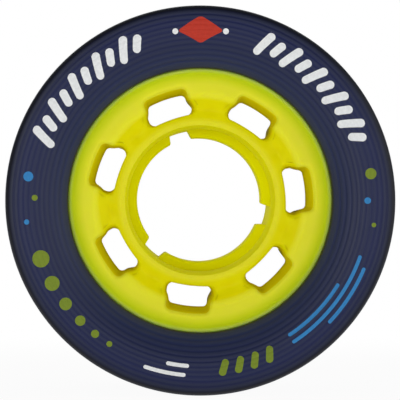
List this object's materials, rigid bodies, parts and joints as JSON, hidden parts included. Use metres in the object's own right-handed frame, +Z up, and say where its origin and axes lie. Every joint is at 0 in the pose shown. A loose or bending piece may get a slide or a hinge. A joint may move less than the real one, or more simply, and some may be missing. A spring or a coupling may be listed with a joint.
{
  "type": "roller skate wheel",
  "caption": "Quad roller skate wheel: a soft tyre with turned, dished sides on a moulded hub with windows round a through bore that seats a ball bearing at each end.",
  "frame": {"origin": "the wheel's centre, on the axle's axis and midway between its two sides", "axes": "+Y along the axle and away from the front side, +Z up, +X to the right as seen from the front"},
  "size_m": [0.059, 0.038, 0.059],
  "materials": {
    "tyre": "satin cast polyurethane, dark navy, turned in fine rings on its sides",
    "hub": "moulded nylon, lime yellow, smooth"
  },
  "bodies": {
    "root": {"tyre": "tyre", "hub": "hub"}
  },
  "joints": []
}
